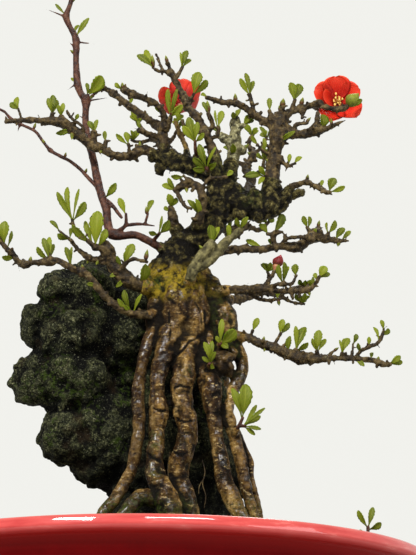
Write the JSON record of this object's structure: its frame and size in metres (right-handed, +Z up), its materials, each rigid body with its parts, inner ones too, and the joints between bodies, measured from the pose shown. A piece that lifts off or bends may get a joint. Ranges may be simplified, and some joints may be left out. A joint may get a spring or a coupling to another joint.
{
  "type": "flowering quince bonsai",
  "caption": "Dwarf flowering quince bonsai with exposed roots gripping a lava rock, small green leaves and orange-red blooms, in a shallow round red glazed pot.",
  "frame": {"origin": "centre of the bounding box at the underside of the pot's foot", "axes": "+Z up, +X to the viewer's right in the picture, -Y towards the viewer"},
  "size_m": [0.2784, 0.28, 0.3813],
  "materials": {
    "glaze": "glossy red glaze on fired clay",
    "screen": "matte black plastic mesh",
    "soil": "damp crumbled soil with bark and grit",
    "lava_rock": "rough lava rock with moss and pale specks",
    "old_wood": "old bark and bare roots, partly wet, with lichen",
    "bark": "brown bark, with green leaves on its twigs",
    "red_bark": "smooth red-brown bark of young shoots",
    "ochre_bark": "ochre peeling bark",
    "lichen_bark": "bark crusted with grey lichen",
    "leaf": "young green leaves, lightly glossy",
    "petal": "soft orange-red petals",
    "stamen": "golden stamens",
    "calyx": "dull red-green calyx"
  },
  "bodies": {
    "root": {"pot": "glaze", "drain_screen_left": "screen", "drain_screen_right": "screen", "soil": "soil", "rock": "lava_rock", "trunk": "old_wood", "branch_whip": "red_bark", "shoot_left_thin": "red_bark", "branch_crown_ochre": "ochre_bark", "branch_lichen": "lichen_bark", "branch_front_grey": "lichen_bark", "bloom_front_petals": "petal", "bloom_front_stamens": "stamen", "bloom_front_calyx": "calyx", "bloom_rear_petals": "petal", "bloom_rear_stamens": "stamen", "bloom_rear_calyx": "calyx", "flower_bud_petals": "petal", "flower_bud_calyx": "calyx", "branch_left_upper": "bark", "branch_crown_left": "bark", "branch_crown_centre": "bark", "tuft_limb_left": "leaf", "tuft_crotch": "leaf", "branch_right_upper": "bark", "branch_right_short": "bark", "branch_arch": "bark", "branch_left_dark": "bark", "branch_left_main": "bark", "branch_lower_left": "bark", "branch_right_third": "bark", "branch_right_fourth": "bark", "branch_right_long": "bark", "tuft_burr": "leaf", "tuft_hollow": "leaf", "tuft_root_foot": "leaf", "branch_back_high": "bark", "branch_back_left": "bark", "branch_back_low": "bark", "branch_back_right": "bark", "sucker_in_soil": "leaf"}
  },
  "joints": []
}
